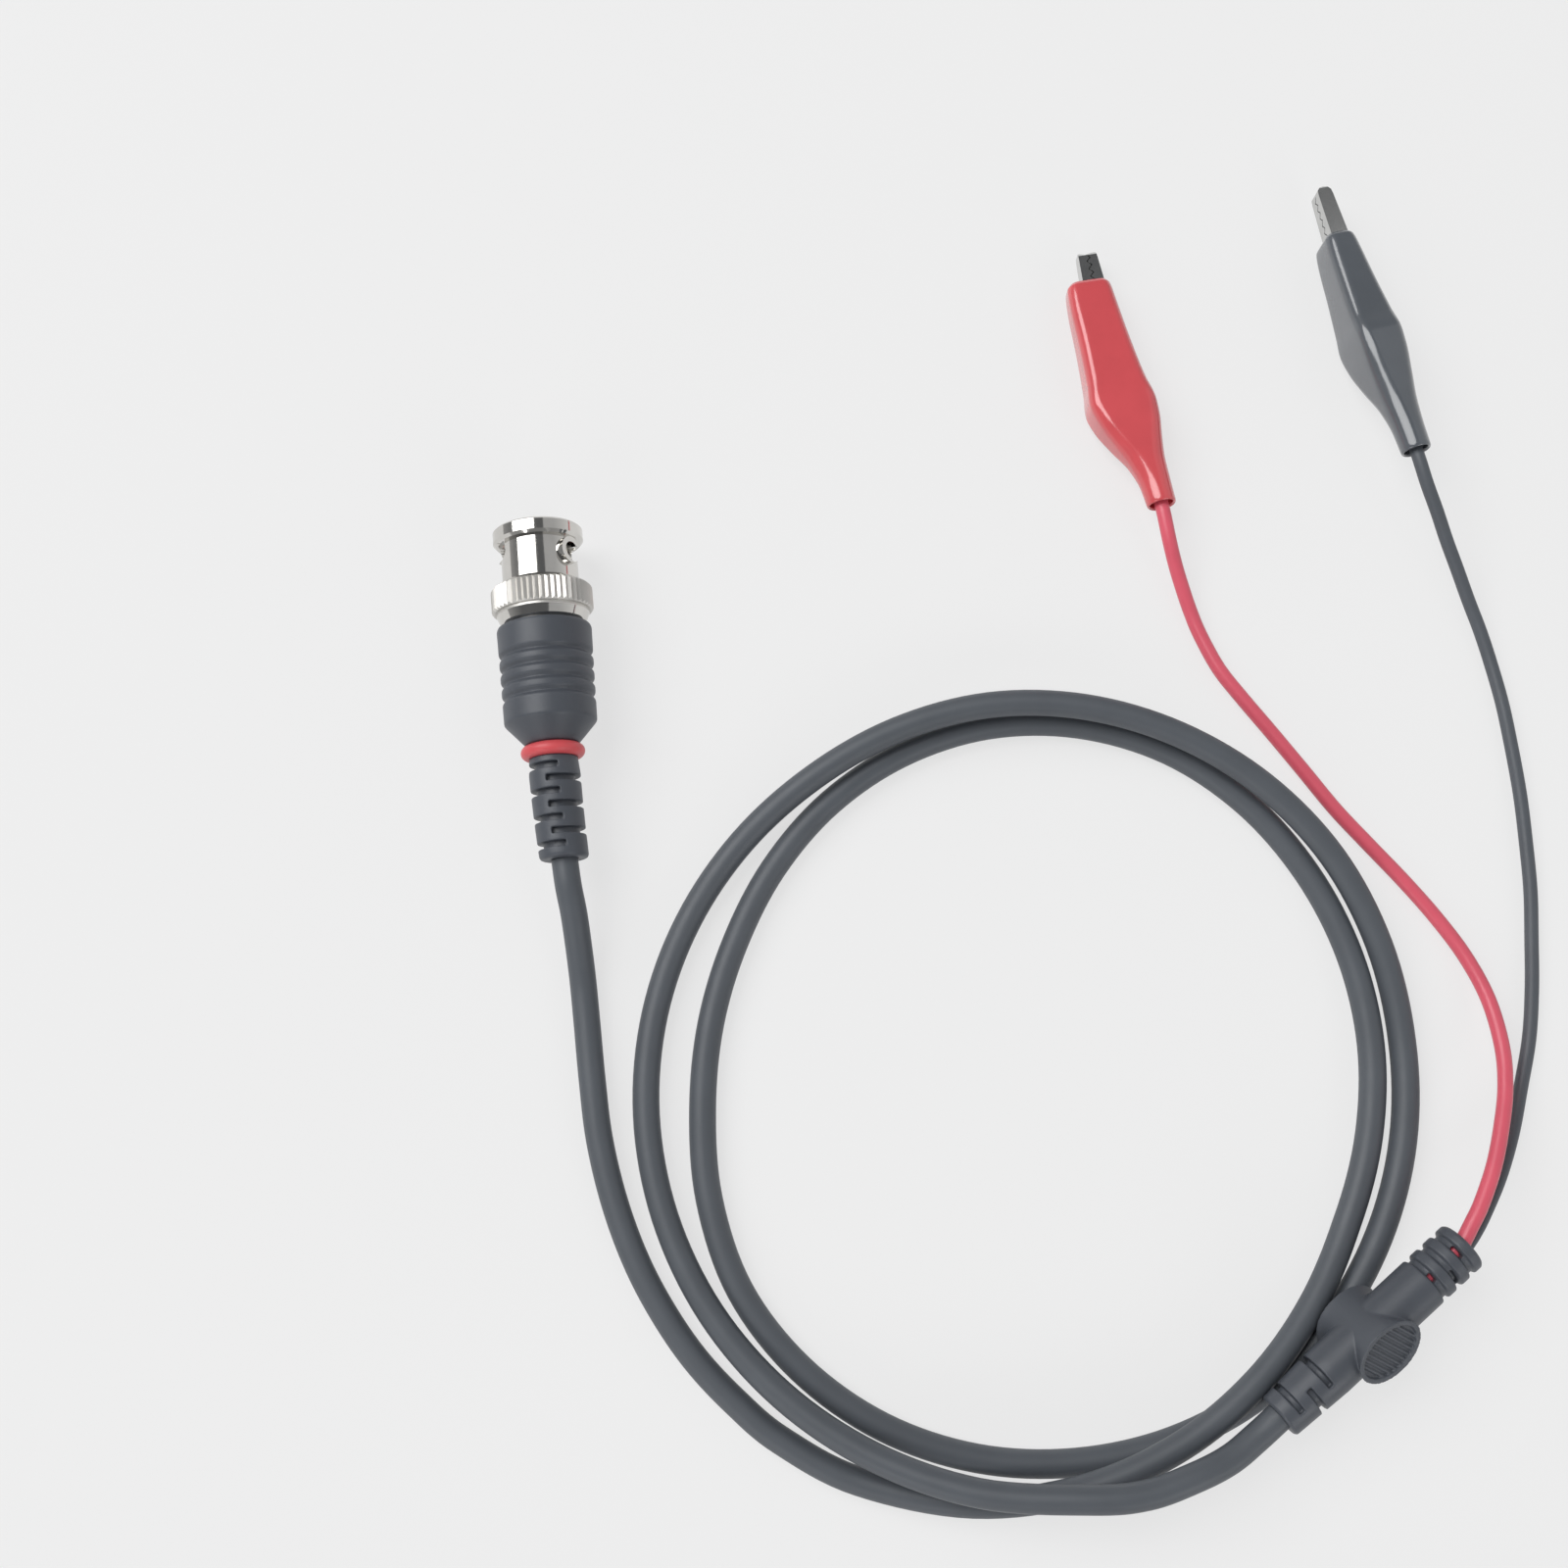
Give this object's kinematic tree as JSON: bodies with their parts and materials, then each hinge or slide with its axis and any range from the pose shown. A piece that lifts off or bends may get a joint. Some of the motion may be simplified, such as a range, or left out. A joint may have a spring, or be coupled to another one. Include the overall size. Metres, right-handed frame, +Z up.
{
  "type": "coaxial test lead",
  "caption": "Coaxial test lead with a bayonet plug, a moulded splitter and two booted spring clips, one red and one black.",
  "frame": {"origin": "on the table, under the middle of the box round the plug, the splitter and the two clips", "axes": "+Y along the plug towards its mouth, +Z up from the table"},
  "size_m": [0.1454, 0.1845, 0.0145],
  "materials": {
    "nickel": "bright nickel plate",
    "contact_gold": "gold plate",
    "insulator": "white fluoropolymer",
    "gasket": "silicone rubber",
    "spring_steel": "plain spring steel",
    "tinned_copper": "tinned copper",
    "black_jacket": "matt black flexible vinyl",
    "black_boot": "matt black moulded vinyl",
    "black_vinyl": "satin black dipped vinyl",
    "red_vinyl": "satin red dipped vinyl",
    "red_jacket": "satin red flexible vinyl",
    "red_ring": "satin red rubber",
    "jaw_steel": "nickel plated sheet steel"
  },
  "bodies": {
    "lead": {"contact_sleeve": "nickel", "plug_body": "nickel", "centre_pin": "contact_gold", "plug_insulator": "insulator", "sealing_gasket": "gasket", "retaining_ring": "spring_steel", "wave_spring": "spring_steel", "crimp_ferrule": "nickel", "plug_braid": "tinned_copper", "plug_coax_core": "insulator", "plug_coax_end": "black_jacket", "plug_boot": "black_boot", "marker_ring": "red_ring", "coax_cable": "black_jacket", "splitter_body": "black_boot", "splitter_coax_end": "black_jacket", "splitter_coax_core": "insulator", "splitter_braid_tail": "tinned_copper", "signal_splice": "tinned_copper", "ground_splice": "tinned_copper", "signal_sleeve": "red_jacket", "ground_sleeve": "black_jacket", "splitter_red_end": "red_jacket", "splitter_black_end": "black_jacket", "red_lead": "red_jacket", "black_lead": "black_jacket", "red_clip_boot": "red_vinyl", "red_fixed_jaw": "jaw_steel", "red_clip_spring": "spring_steel", "red_clip_rivet": "jaw_steel", "red_clip_wire": "red_jacket", "black_clip_boot": "black_vinyl", "black_fixed_jaw": "jaw_steel", "black_clip_spring": "spring_steel", "black_clip_rivet": "jaw_steel", "black_clip_wire": "black_jacket"},
    "nut_carrier": {"thrust_washer": "nickel"},
    "nut": {"coupling_nut": "nickel"},
    "red_jaw": {"red_moving_jaw": "jaw_steel"},
    "black_jaw": {"black_moving_jaw": "jaw_steel"}
  },
  "joints": [
    {"name": "nut_slide", "type": "slide", "parent": "lead", "child": "nut_carrier", "axis": [0, 1, 0], "range_m": [0, 0.001], "stiffness_N_per_m": 8000, "springref_m": -0.0004, "deforming": ["wave_spring"]},
    {"name": "nut_spin", "type": "hinge", "parent": "nut_carrier", "child": "nut", "pos_m": [-0.0614, 0.0375, 0.00725], "axis": [0, 1, 0], "continuous": true},
    {"name": "red_jaw_hinge", "type": "hinge", "parent": "lead", "child": "red_jaw", "pos_m": [0.02531, 0.06762, 0.00297], "axis": [-0.0039, 0.0609, 0.9981], "range_deg": [0, 20], "stiffness_Nm_per_rad": 0.1, "springref_deg": -25.78, "deforming": ["red_clip_boot", "red_clip_spring"]},
    {"name": "black_jaw_hinge", "type": "hinge", "parent": "lead", "child": "black_jaw", "pos_m": [0.06277, 0.07371, 0.00469], "axis": [-0.991, -0.123, 0.0523], "range_deg": [0, 20], "stiffness_Nm_per_rad": 0.1, "springref_deg": -25.78, "deforming": ["black_clip_boot", "black_clip_spring"]}
  ]
}
